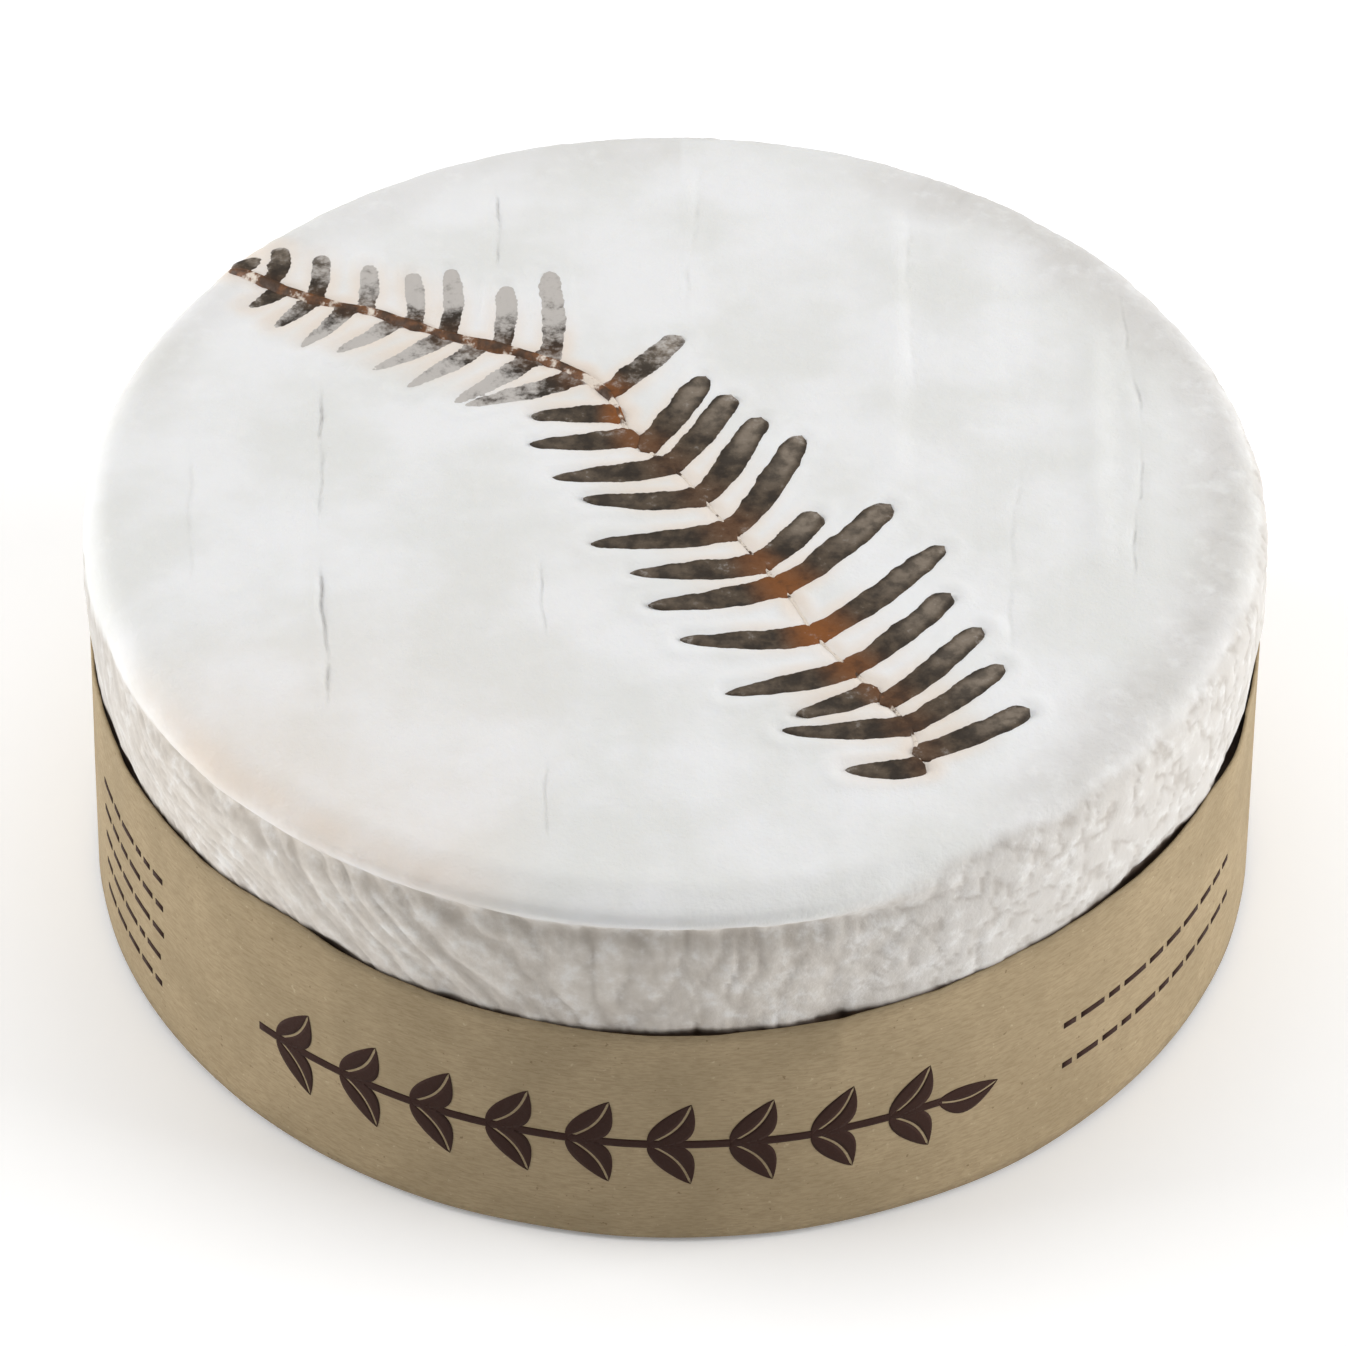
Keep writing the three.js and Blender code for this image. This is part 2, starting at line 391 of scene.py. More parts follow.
def rind_relief(points):
    """Displacement of the rind along its normal, the weight of its side, and its valleys."""
    height = points[:, 2]
    radius = np.hypot(points[:, 0], points[:, 1])
    turn = from_front(np.arctan2(points[:, 1], points[:, 0]))
    edge = side_upper_edge(turn) + 0.8 * cloud(points, 6, 2, 28)
    side = smoothstep(edge, edge - 2.0, height) * smoothstep(FLAT_RADIUS - 3, FLAT_RADIUS, radius)
    worn = worn_rim(turn, radius + 2.5 * cloud(points, 8, 2, 29))
    side = np.maximum(side, worn * (height > BAND_TOP))
    shown = smoothstep(BASE_EDGE + 3, BASE_EDGE + 8, height)
    wrinkles, valleys = side_relief(points)
    relief = (1 - side) * top_relief(points[:, 0], points[:, 1]) * (height > BAND_TOP)
    relief += side * shown * wrinkles
    lip = lip_weight(turn) * smoothstep(FLAT_RADIUS - 2, FLAT_RADIUS + 1, radius)
    relief += lip * LIP_DEPTH * hump(height, LIP_HEIGHT, LIP_WIDTH)
    relief -= lip * FOLD_DEPTH * hump(height, FOLD_HEIGHT, FOLD_WIDTH)
    gap = band_gap(turn)
    top = band_top(turn)
    relief -= (0.04 + 0.7 * gap) * hump(height, top - 0.8, 0.8 + 0.8 * gap)
    behind = smoothstep(top, top - 3, height) * side
    limit = BAND_RADIUS - SIDE_RADIUS - PAPER_THICKNESS - PAPER_CLEARANCE
    held = np.minimum(relief, relief * (1 - behind) + limit * behind)
    return np.where(behind > 0, held, relief), side, valleys


def profile_points():
    """The wheel's profile from the top centre to the base centre, as rows of radius, height."""
    crown = np.linspace(0, CROWN_RADIUS, 60)
    turn = np.linspace(EDGE_SLOPE, np.pi / 2, 24)[1:]
    corner = np.linspace(0, np.pi / 2, 12)[1:]
    fall = np.linspace(EDGE_HEIGHT - SHOULDER, BAND_TOP, 20)[1:]
    inset = SIDE_INSET * smoothstep(BULGE_HEIGHT, BAND_TOP, fall)
    return np.vstack([
        columns(crown, crown_height(crown)),
        columns(FLAT_RADIUS + SHOULDER * np.sin(turn), EDGE_HEIGHT - SHOULDER * (1 - np.cos(turn))),
        columns(WHEEL_RADIUS - inset, fall),
        columns(SIDE_RADIUS, np.array([BASE_EDGE])),
        columns(SIDE_RADIUS - BASE_EDGE * (1 - np.cos(corner)), BASE_EDGE * (1 - np.sin(corner))),
        columns(np.array([0.0]), 0),
    ])


def crown_height(radius):
    """Height of the plain crowned top at a distance from the axis."""
    return WHEEL_HEIGHT - (WHEEL_HEIGHT - CROWN_EDGE) * (radius / CROWN_RADIUS) ** 2


def top_height(x, y):
    """Height of the finished rind at plan points on the top or the shoulder."""
    radius = np.hypot(x, y)
    over = np.clip((radius - FLAT_RADIUS) / SHOULDER, 0, 0.98)
    plain = np.where(
        radius <= CROWN_RADIUS,
        crown_height(radius),
        EDGE_HEIGHT - SHOULDER * (1 - np.sqrt(1 - over**2)),
    )
    relief = rind_relief(columns(x, y, plain))[0]
    return plain + relief / np.sqrt(1 - over**2)


def ring_places():
    """Radius, height, outward direction and number of vertices of each ring of the rind."""
    line = profile_points()
    steps = np.linalg.norm(np.diff(line, axis=0), axis=1)
    travel = np.concatenate([[0], np.cumsum(steps)])
    shown_until = np.interp(-(BAND_TOP - 5), -line[:, 1], travel)
    fine = np.arange(RIND_STEP, shown_until, RIND_STEP)
    coarse = np.arange(shown_until, travel[-1] - HIDDEN_STEP, HIDDEN_STEP)

    def profile_at(places):
        return columns(np.interp(places, travel, line[:, 0]), np.interp(places, travel, line[:, 1]))

    places = np.concatenate([fine, coarse])
    radii, heights = profile_at(places).T
    run = profile_at(places + 0.3) - profile_at(places - 0.3)
    run /= np.linalg.norm(run, axis=1)[:, None]
    normals = columns(-run[:, 1], run[:, 0])
    counts = [ring_count(radius) for radius in radii[: len(fine)]]
    for _ in coarse:
        counts.append(max(counts[-1] // 2, HIDDEN_SEGMENTS))
    return radii, heights, normals, counts


def ring_count(radius):
    """Vertices in a ring: halved each time the radius halves, to keep the cells even."""
    count = RIND_SEGMENTS
    limit = WHEEL_RADIUS / 2
    while radius < limit and count > 46:
        count //= 2
        limit /= 2
    return count


def rind_mesh():
    """Undisplaced points, normals and faces of the wheel, from the top centre to the base."""
    radii, heights, normals, counts = ring_places()
    points = [np.array([[0, 0, WHEEL_HEIGHT]])]
    outward = [np.array([[0, 0, 1.0]])]
    starts = []
    total = 1
    for radius, height, normal, count in zip(radii, heights, normals, counts):
        angle = np.arange(count) / count * 2 * np.pi
        points.append(columns(radius * np.cos(angle), radius * np.sin(angle), height))
        outward.append(columns(normal[0] * np.cos(angle), normal[0] * np.sin(angle), normal[1]))
        starts.append(total)
        total += count
    points.append(np.array([[0, 0, 0.0]]))
    outward.append(np.array([[0, 0, -1.0]]))
    faces = [(0, starts[0] + k, starts[0] + (k + 1) % counts[0]) for k in range(counts[0])]
    for i in range(len(counts) - 1):
        faces += ring_faces(starts[i], counts[i], starts[i + 1], counts[i + 1])
    last, count = starts[-1], counts[-1]
    faces += [(total, last + (k + 1) % count, last + k) for k in range(count)]
    return np.vstack(points), np.vstack(outward), faces


def ring_faces(above, above_count, below, below_count):
    """Faces between two rings that have the same count, or twice as many on one side."""
    faces = []
    for k in range(min(above_count, below_count)):
        if above_count == below_count:
            after = (k + 1) % above_count
            faces.append((above + k, below + k, below + after, above + after))
        elif above_count < below_count:
            after = (k + 1) % above_count
            outer = [below + (2 * k + step) % below_count for step in range(3)]
            faces.append((above + k, *outer, above + after))
        else:
            after = (k + 1) % below_count
            outer = [above + (2 * k + step) % above_count for step in (2, 1, 0)]
            faces.append((*outer, below + k, below + after))
    return faces


def build_rind(material):
    """The whole wheel's skin, displaced into creases, wrinkles and bloom."""
    points, outward, faces = rind_mesh()
    relief, side, valleys = rind_relief(points)
    finished = points + outward * relief[:, None]
    finished[:, 2] = np.maximum(finished[:, 2], 0)
    piece = make_piece("rind", finished, faces, material, ["cheese_wheel"])
    height = points[:, 2]
    turn = from_front(np.arctan2(points[:, 1], points[:, 0]))
    lip = lip_weight(turn)
    on_top = height > EDGE_HEIGHT - SHOULDER
    plan = points[:, :2]
    halo = smoothstep(2.4, 0.3, frond_distance(*plan.T)) * on_top
    halo *= smoothstep(11, 4, distance_to_line(plan, STEM[::4, :2]))
    rim = lip * hump(height, LIP_HEIGHT + 0.9, 2.1) * smoothstep(-10, -26, turn)
    set_attribute(piece, "side", side)
    # Painted shade: the side's wrinkle valleys, which the material darkens to grey-brown.
    set_attribute(piece, "valley", valleys * side)
    set_attribute(piece, "age", 0.3 + 0.7 * smoothstep(-80, -55, turn) * smoothstep(30, 5, turn))
    set_attribute(piece, "warm", np.maximum(halo, rim))
    # Painted shade in the gap under the paper's top edge, with some damp rind: dark brown just
    # below the edge.
    above = height - band_top(turn) - 0.45 * band_gap(turn)
    set_attribute(piece, "damp_and_gap_shade", smoothstep(0.4, -0.4, above))
    return piece


# ---------------------------------------------------------------- the paper band

LAP_START = math.radians(122)
LAP_ANGLE = math.radians(22)
BAND_COLUMNS = 760
BAND_ROWS = 22


def band_radius(angle, height):
    """Outer radius of the paper, which clings to the wheel and stands off at its top edge."""
    turn = from_front(angle)
    up = smoothstep(BAND_BOTTOM, BAND_TOP, height)
    ring = columns(np.cos(angle) * WHEEL_RADIUS, np.sin(angle) * WHEEL_RADIUS, height * 0.35)
    radius = BAND_RADIUS - 0.12 + 0.16 * cloud(ring, 22, 2, 41)
    radius += up**3 * (0.3 * (band_gap(turn) - 0.5) + 0.12 * noise(ring / 4, 43))
    return radius


def band_surface(angle, height, lift):
    """Points lift millimetres outside the paper's outer face."""
    radius = band_radius(angle, height) + lift
    return columns(radius * np.cos(angle), radius * np.sin(angle), height)


def build_band(material):
    """One strip of paper, wound once round and lapped over its own start."""
    share = np.linspace(0, 1, BAND_COLUMNS)
    wound = LAP_START + share * (2 * np.pi + LAP_ANGLE)
    ring = columns(np.cos(wound) * 30, np.sin(wound) * 30, 0)
    turn = from_front(wound)
    top = band_top(turn) + 0.22 * noise(ring / 7, 44) + 0.1 * noise(ring / 2, 45)
    bottom = BAND_BOTTOM + 0.12 * (1 + noise(ring / 8, 46)) + 0.5 * smoothstep(30, 60, np.abs(turn))
    over = smoothstep(2 * np.pi - 0.1, 2 * np.pi + 0.02, wound - LAP_START)
    rows = []
    for row in range(BAND_ROWS):
        height = bottom + (top - bottom) * row / (BAND_ROWS - 1)
        rows.append(band_surface(wound, height, over * (PAPER_THICKNESS + 0.05)))
    outer = np.array(rows)
    centre = outer * np.array([1, 1, 0])
    inward = centre / np.linalg.norm(centre, axis=2)[..., None]
    inner = outer - inward * PAPER_THICKNESS
    points = np.concatenate([outer.reshape(-1, 3), inner.reshape(-1, 3)])
    total = BAND_ROWS * BAND_COLUMNS
    faces = grid_faces(BAND_ROWS, BAND_COLUMNS)
    faces += [tuple(reversed([i + total for i in face])) for face in faces]
    faces += rim_faces(BAND_ROWS, BAND_COLUMNS, total)
    return make_piece("kraft_band", points, faces, material, ["paper_band"])


def rim_faces(rows, cols, total):
    """Faces that join the edges of a sheet's front to those of its back."""
    round_edge = [(0, c) for c in range(cols)] + [(r, cols - 1) for r in range(1, rows)]
    round_edge += [(rows - 1, c) for c in range(cols - 2, -1, -1)]
    round_edge += [(r, 0) for r in range(rows - 2, 0, -1)]
    ids = [r * cols + c for r, c in round_edge]
    return [(b, a, a + total, b + total) for a, b in zip(ids, ids[1:] + ids[:1])]


# ---------------------------------------------------------------- the printing on the band

INK_LIFT = 0.05
INK_DEPTH = 0.04
PRINT_START = math.radians(-90 - 43.5)
PRINT_END = math.radians(-90 + 33.5)
PRINT_MIDDLE = 14.8
PRINT_LEAF_PAIRS = 9
PRINT_LEAF_LENGTH = 7.6
PRINT_LEAF_WIDTH = 4.0
PRINT_LEAF_LEAN = math.radians(52)
PRINT_STALK = 1.1
PRINT_RIB = 0.3  # width of the bare line along the middle of a printed leaf
MARK_THICKNESS = 0.8
MARK_LENGTHS = (1.2, 4.0)
MARK_GAP = 0.8
# Rows of small marks: name, first and last degrees from the front, heights, seed
SMALL_MARKS = [
    ("marks_right", 41, 71, (17.5, 11.5), 5),
    ("marks_left", -75, -59, (23, 19, 15, 11, 7), 6),
]


def ink_patch(outline_low, outline_high):
    """A thin solid of ink between two matching lines of (arc length, height) points."""
    shares = np.linspace(0, 1, 5)[:, None, None]
    plan = outline_low + (outline_high - outline_low) * shares
    angle = plan[..., 0].ravel() / BAND_RADIUS
    height = plan[..., 1].ravel()
    front = band_surface(angle, height, INK_LIFT)
    back = band_surface(angle, height, INK_LIFT - INK_DEPTH)
    rows, cols = plan.shape[:2]
    faces = grid_faces(rows, cols)
    faces += [tuple(reversed([i + rows * cols for i in face])) for face in faces]
    faces += rim_faces(rows, cols, rows * cols)
    return np.concatenate([front, back]), faces


def printed_leaf(foot, lean, length, width):
    """A plain pointed leaf shape growing from foot, in two halves with a bare rib between."""
    share = np.linspace(0, 1, 15)
    half = width / 2 * np.sin(np.pi * share**0.85) ** 0.85
    rib = np.minimum(PRINT_RIB / 2, half)
    ahead = np.array([math.cos(lean), math.sin(lean)])
    aside = np.array([-ahead[1], ahead[0]])
    bend = 0.12 * length * np.sin(np.pi * share) * math.copysign(1, math.sin(lean))
    middle = foot + np.outer(share * length, ahead) - np.outer(bend, aside)
    return [
        ink_patch(middle - np.outer(half, aside), middle - np.outer(rib, aside)),
        ink_patch(middle + np.outer(rib, aside), middle + np.outer(half, aside)),
    ]


def printed_bar(start, length, height, thickness):
    """A short plain stroke along the band."""
    across = np.linspace(start, start + length, max(3, int(length / 0.8)))
    low, high = height - thickness / 2, height + thickness / 2
    return ink_patch(columns(across, low), columns(across, high))


def join_patches(patches):
    """One set of points and faces from several patches."""
    points, faces, total = [], [], 0
    for patch_points, patch_faces in patches:
        faces += [tuple(i + total for i in face) for face in patch_faces]
        points.append(patch_points)
        total += len(patch_points)
    return np.concatenate(points), faces


def build_sprig(material):
    """A plain printed sprig across the front: a stalk with pairs of leaves and one at its end."""
    start = PRINT_START * BAND_RADIUS
    run = (PRINT_END - PRINT_START) * BAND_RADIUS
    pitch = (run - PRINT_LEAF_LENGTH) / PRINT_LEAF_PAIRS
    patches = [printed_bar(start, run - PRINT_LEAF_LENGTH, PRINT_MIDDLE, PRINT_STALK)]
    for pair in range(PRINT_LEAF_PAIRS):
        foot = np.array([start + pitch * (pair + 0.3), PRINT_MIDDLE])
        for way in (1, -1):
            lean = way * PRINT_LEAF_LEAN
            patches += printed_leaf(foot, lean, PRINT_LEAF_LENGTH, PRINT_LEAF_WIDTH)
    tip = np.array([start + run - PRINT_LEAF_LENGTH - 0.6, PRINT_MIDDLE])
    patches += printed_leaf(tip, 0.0, PRINT_LEAF_LENGTH, PRINT_LEAF_WIDTH)
    points, faces = join_patches(patches)
    return make_piece("printed_sprig", points, faces, material)


def build_small_marks(name, first_degrees, last_degrees, heights, seed, material):
    """Rows of short dashes where the band carries its small print."""
    random = np.random.RandomState(seed)
    patches = []
    for height in heights:
        place = math.radians(-90 + first_degrees) * BAND_RADIUS
        end = math.radians(-90 + last_degrees) * BAND_RADIUS
        while place < end - 1:
            length = min(random.uniform(*MARK_LENGTHS), end - place)
            patches.append(printed_bar(place, length, height, MARK_THICKNESS))
            place += length + MARK_GAP
    points, faces = join_patches(patches)
    return make_piece(name, points, faces, material)


# ---------------------------------------------------------------- the frond

BLADE_ROWS = 34
BLADE_COLUMNS = 13
BLADE_THICKNESS = 0.34
BLADE_SPREAD = 0.71  # half the dried blade's greatest width, as a share of its solid's
FOOT_OVERLAP = -0.05  # a blade starts this share of its length behind the stem's centre
FOOT_ROUND = 0.14  # share of a blade's length over which its foot is rounded
BLADE_CURL = 0.14  # how far a blade's margins curl up and down
BLADE_ARCH = -0.16  # how far its margins lie below its middle
BLADE_WAVE = 3.5  # length of a curl along the blade
BLADE_TEAR = 1.5  # and of the raggedness of its margins
GROOVE_DEPTH, GROOVE_WIDTH = -0.12, 0.2
VEIN_DEPTH, VEIN_SPACING, VEIN_SLANT = 0.035, 0.8, 0.9
STEM_SIDES = 14
STEM_ROWS = 240
STEM_REACH = 1.6  # how far the dried tip runs past its solid, over the wheel's edge


def build_leaflet(leaflet, index, material):
    """A dried blade with a groove along its midrib, wavy margins and a pointed tip."""
    right = leaflet["name"].startswith("leaf_right")
    share = np.linspace(FOOT_OVERLAP, 1, BLADE_ROWS)
    across = np.linspace(-1, 1, BLADE_COLUMNS)
    line = leaflet_line(leaflet, share)
    along = np.gradient(line, axis=0)
    along /= np.linalg.norm(along, axis=1)[:, None]
    aside = columns(-along[:, 1], along[:, 0])
    reach = np.linalg.norm(leaflet["tip"] - leaflet["foot"])
    taper = blade_width(share, right)
    buried = smoothstep(0.52, 0.68, leaflet["place"])
    swell = 0.90 + 0.27 * smoothstep(0.08, 0.30, leaflet["place"])
    swell += 0.25 * hump(leaflet["place"], 0.65, 0.06) + (0 if right else 0.15) * buried
    half = leaflet["width"] * BLADE_SPREAD * swell * taper
    ragged = 0.14 + 0.14 * buried
    margins = [
        half * (1 + ragged * noise(columns(share * reach / BLADE_TEAR, index * 3.7, 0.5), 61)),
        half * (1 + ragged * noise(columns(share * reach / BLADE_TEAR, index * 3.7, 9.5), 62)),
    ]
    widths = np.where(across[None] < 0, margins[0][:, None], margins[1][:, None])
    plan = line[:, None] + aside[:, None] * (across[None, :, None] * widths[..., None])
    x, y = plan[..., 0].ravel(), plan[..., 1].ravel()
    ground = top_height(x, y).reshape(plan.shape[:2])
    ground = 0.5 * ground + 0.5 * ground[:, BLADE_COLUMNS // 2][:, None]
    rest = 0.02 - 0.16 * buried + 0.10 * smoothstep(0.15, 0.0, share)[:, None]
    lift = (0.25 - 0.2 * buried) * smoothstep(0.75, 1.0, share) * (index % 3) / 2
    curl = BLADE_CURL * noise(columns(share * reach / BLADE_WAVE, index * 1.9, 4.5), 63)
    arch = BLADE_ARCH * across[None] ** 2 + curl[:, None] * across[None]
    groove = GROOVE_DEPTH * np.exp(-((across[None] / GROOVE_WIDTH) ** 2))
    slant = share[:, None] * reach - np.abs(across[None]) * VEIN_SLANT
    veins = VEIN_DEPTH * np.sin(slant * 2 * np.pi / VEIN_SPACING)
    body = BLADE_THICKNESS * (1 - np.abs(across[None]) ** 3) * taper[:, None] ** 0.5
    under = ground + rest + lift[:, None] + arch
    over = under + body + groove * taper[:, None] + veins * (1 - across[None] ** 2)
    over = np.maximum(over, under + 0.03)
    points = np.concatenate([columns(x, y, over.ravel()), columns(x, y, under.ravel())])
    total = BLADE_ROWS * BLADE_COLUMNS
    faces = grid_faces(BLADE_ROWS, BLADE_COLUMNS)
    faces += [tuple(reversed([i + total for i in face])) for face in faces]
    faces += rim_faces(BLADE_ROWS, BLADE_COLUMNS, total)
    faces = [tuple(reversed(face)) for face in faces]
    name = leaflet["name"].replace("leaf", "leaflet")
    piece = make_piece(name, points, faces, material, [leaflet["name"]])
    place = leaflet["place"]
    rust = 0.15 + 0.85 * max(hump(place, 0.22, 0.10), hump(place, 0.56, 0.05))
    set_attribute(piece, "along", np.tile(np.repeat(share, BLADE_COLUMNS), 2))
    set_attribute(piece, "across", np.tile(across, BLADE_ROWS * 2))
    frosted = buried * (1 - 0.7 * smoothstep(0.86, 0.95, place))
    set_attribute(piece, "buried", np.full(2 * total, frosted))
    set_attribute(piece, "rust", np.full(2 * total, rust))
    set_attribute(piece, "grey", np.full(2 * total, 0.9 if right else 0.2))
    return piece


def blade_width(share, right):
    """Half width of a blade along its length, as a share of its widest."""
    reach = np.clip(share, 0, 1)
    start = np.clip((share - FOOT_OVERLAP) / FOOT_ROUND, 0, 1)
    foot = np.sqrt(1 - (1 - start) ** 2)
    if right:
        return foot * (0.86 + 0.16 * smoothstep(0, 0.5, reach)) * np.sqrt(1 - reach**7) + 0.03
    return foot * (1 - 0.18 * smoothstep(0.3, 0.8, reach)) * (1 - reach**3.6) ** 0.7 + 0.03


def build_stem(material):
    """The stalk: a ribbed, tapering tube that lies in the mould between leaf pairs."""
    share = np.linspace(0, 1, STEM_ROWS)
    knots = np.linspace(0, 1, len(STEM))
    line = columns(np.interp(share, knots, STEM[:, 0]), np.interp(share, knots, STEM[:, 1]))
    tip_run = (STEM[-1] - STEM[-5])[:2]
    line += np.outer(STEM_REACH * smoothstep(0.93, 1, share), tip_run / np.linalg.norm(tip_run))
    tip_half = smoothstep(0.50, 0.66, share)
    thickness = 0.75 + 1.6 * tip_half + 0.8 * smoothstep(0.88, 0.96, share)
    radius = np.interp(share, knots, STEM_RADII) * thickness
    radius *= 1 + (0.14 + 0.2 * tip_half) * noise(columns(share * 40, 0.5, 0.5), 71)
    radius *= np.sqrt(np.clip(1 - ((share - 0.5) * 2) ** 30, 0.02, 1))
    ground = top_height(line[:, 0], line[:, 1])
    feet = np.array([leaflet["foot"] for leaflet in LEAFLETS])
    nearest = np.linalg.norm(line[:, None] - feet[None], axis=2).min(axis=1)
    sunk = 0.25 + 0.55 * (1 - hump(nearest, 0, 1.6)) * (1 - tip_half)
    middle = columns(line[:, 0], line[:, 1], ground - sunk * radius)
    along = np.gradient(middle, axis=0)
    along /= np.linalg.norm(along, axis=1)[:, None]
    aside = np.cross(along, [0, 0, 1.0])
    aside /= np.linalg.norm(aside, axis=1)[:, None]
    upward = np.cross(aside, along)
    angle = np.arange(STEM_SIDES) / STEM_SIDES * 2 * np.pi
    ring = radius[:, None] * (1 + 0.09 * np.cos(angle * 4))[None]
    points = middle[:, None] + aside[:, None] * (ring * np.cos(angle))[..., None]
    points = points + upward[:, None] * (ring * np.sin(angle))[..., None]
    faces = grid_faces(len(line), STEM_SIDES, closed=True)
    faces.append(tuple(range(STEM_SIDES))[::-1])
    faces.append(tuple(range((len(line) - 1) * STEM_SIDES, len(line) * STEM_SIDES)))
    points = points.reshape(-1, 3)
    piece = make_piece("fern_stalk", points, faces, material, ["fern_stem"])
    joint = np.maximum(hump(nearest, 0, 1.3), 0.75 * tip_half)
    set_attribute(piece, "joint", np.repeat(joint, STEM_SIDES))
    return piece


# ---------------------------------------------------------------- materials


def srgb(red, green, blue):
    """A colour given as 0 to 255 display values, as the renderer's own numbers."""
    share = np.array([red, green, blue]) / 255
    linear = np.where(share <= 0.04045, share / 12.92, ((share + 0.055) / 1.055) ** 2.4)
    return (*linear.tolist(), 1.0)


class Shader:
    """A node material that is built up one node at a time."""

    def __init__(self, name):
        self.material = bpy.data.materials.new(name)
        self.material.use_nodes = True
        self.nodes = self.material.node_tree.nodes
        self.links = self.material.node_tree.links
        self.surface = self.nodes["Principled BSDF"]
        self.place = self.nodes.new("ShaderNodeTexCoord").outputs["Object"]

    def put(self, socket, value):
        """Sets a socket to a value, or links it to another node's output."""
        if isinstance(value, bpy.types.NodeSocket):
            self.links.new(value, socket)
        else:
            socket.default_value = value

    def finish_with(self, **values):
        for name, value in values.items():
            self.put(self.surface.inputs[name.replace("_", " ")], value)

    def attribute(self, name):
        node = self.nodes.new("ShaderNodeAttribute")
        node.attribute_name = name
        return node.outputs["Fac"]

    def noise(self, size, detail=3.0, roughness=0.5, stretch=(1, 1, 1)):
        """Noise whose lumps are about size millimetres across."""
        node = self.nodes.new("ShaderNodeTexNoise")
        place = self.nodes.new("ShaderNodeMapping")
        place.inputs["Scale"].default_value = [1 / (size * MM * s) for s in stretch]
        self.links.new(self.place, place.inputs["Vector"])
        self.links.new(place.outputs[0], node.inputs["Vector"])
        node.inputs["Scale"].default_value = 1.0
        node.inputs["Detail"].default_value = detail
        node.inputs["Roughness"].default_value = roughness
        return node.outputs["Fac"]

    def math(self, operation, first, second=0.0):
        node = self.nodes.new("ShaderNodeMath")
        node.operation = operation
        self.put(node.inputs[0], first)
        self.put(node.inputs[1], second)
        return node.outputs[0]

    def spread(self, value, low, high, to_low=0.0, to_high=1.0):
        """Maps low..high to to_low..to_high smoothly, and holds it there outside."""
        node = self.nodes.new("ShaderNodeMapRange")
        node.interpolation_type = "SMOOTHSTEP"
        for socket, number in zip(node.inputs[1:5], (low, high, to_low, to_high)):
            socket.default_value = number
        self.put(node.inputs[0], value)
        return node.outputs[0]

    def mix(self, share, first, second):
        node = self.nodes.new("ShaderNodeMix")
        node.data_type = "RGBA"
        self.put(node.inputs[0], share)
        self.put(node.inputs[6], first)
        self.put(node.inputs[7], second)
        return node.outputs[2]

    def bump(self, height, depth, under=None):
        """Relief depth millimetres deep for a height of 0 to 1."""
        node = self.nodes.new("ShaderNodeBump")
        node.inputs["Strength"].default_value = 1.0
        node.inputs["Distance"].default_value = depth * MM
        self.put(node.inputs["Height"], height)
        if under is not None:
            self.put(node.inputs["Normal"], under)
        return node.outputs[0]


def crease_line(shader, x, y, back, front, width):
    """1 on one of the mat's creases, falling to 0 at width millimetres from it."""
    run = (back[1] - front[1]) * MM
    along = shader.math("DIVIDE", shader.math("SUBTRACT", back[1] * MM, y), run)
    centre = shader.math("MULTIPLY", along, (front[0] - back[0]) * MM)
    for height, length, shift in CREASE_WAVES:
        wave = shader.math("SINE", shader.math("ADD", shader.math("DIVIDE", y, length * MM), shift))
        centre = shader.math("ADD", centre, shader.math("MULTIPLY", wave, height * MM))
    gap = shader.math("SUBTRACT", shader.math("SUBTRACT", x, back[0] * MM), centre)
    near = shader.spread(shader.math("ABSOLUTE", gap), 0, width * MM, 1, 0)
    rise = shader.spread(along, 0, CREASE_FADE)
    fall = shader.spread(along, 1 - CREASE_FADE, 1, 1, 0)
    ends = shader.math("MULTIPLY", rise, fall)
    return shader.math("MULTIPLY", near, ends)


